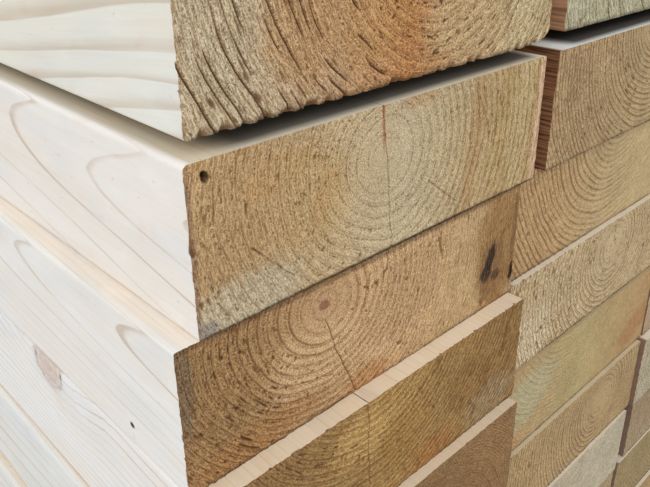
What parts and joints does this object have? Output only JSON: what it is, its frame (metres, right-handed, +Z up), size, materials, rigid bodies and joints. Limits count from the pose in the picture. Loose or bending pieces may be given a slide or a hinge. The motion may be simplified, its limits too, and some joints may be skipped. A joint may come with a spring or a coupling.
{
  "type": "stack of lumber",
  "caption": "Stack of planed softwood boards laid flat side by side, with sawn ends, eased arrises and thin laths under the top layer.",
  "frame": {"origin": "under the middle of the stack, on the surface that it lies on", "axes": "+Z up, +Y along the boards from the near ends to the far ends, +X across the stack to the right of someone who looks at the near ends"},
  "size_m": [0.476, 2.4154, 0.4545],
  "materials": {
    "softwood": "planed, matt, sawn ends",
    "lath": "rough sawn, matt"
  },
  "bodies": {
    "root": {"board_a1": "softwood", "board_b1": "softwood", "board_c1": "softwood", "board_a2": "softwood", "board_b2": "softwood", "board_c2": "softwood", "board_a3": "softwood", "board_b3": "softwood", "board_c3": "softwood", "board_a4": "softwood", "board_b4": "softwood", "board_c4": "softwood", "board_a5": "softwood", "board_b5": "softwood", "board_c5": "softwood", "board_a6": "softwood", "board_b6": "softwood", "board_c6": "softwood", "board_a7": "softwood", "board_b7": "softwood", "board_c7": "softwood", "board_a8": "softwood", "board_b8": "softwood", "board_c8": "softwood", "board_a9": "softwood", "board_b9": "softwood", "board_c9": "softwood", "board_a10": "softwood", "board_b10": "softwood", "board_c10": "softwood", "lath_1": "lath", "lath_2": "lath", "lath_3": "lath", "lath_4": "lath"}
  },
  "joints": []
}
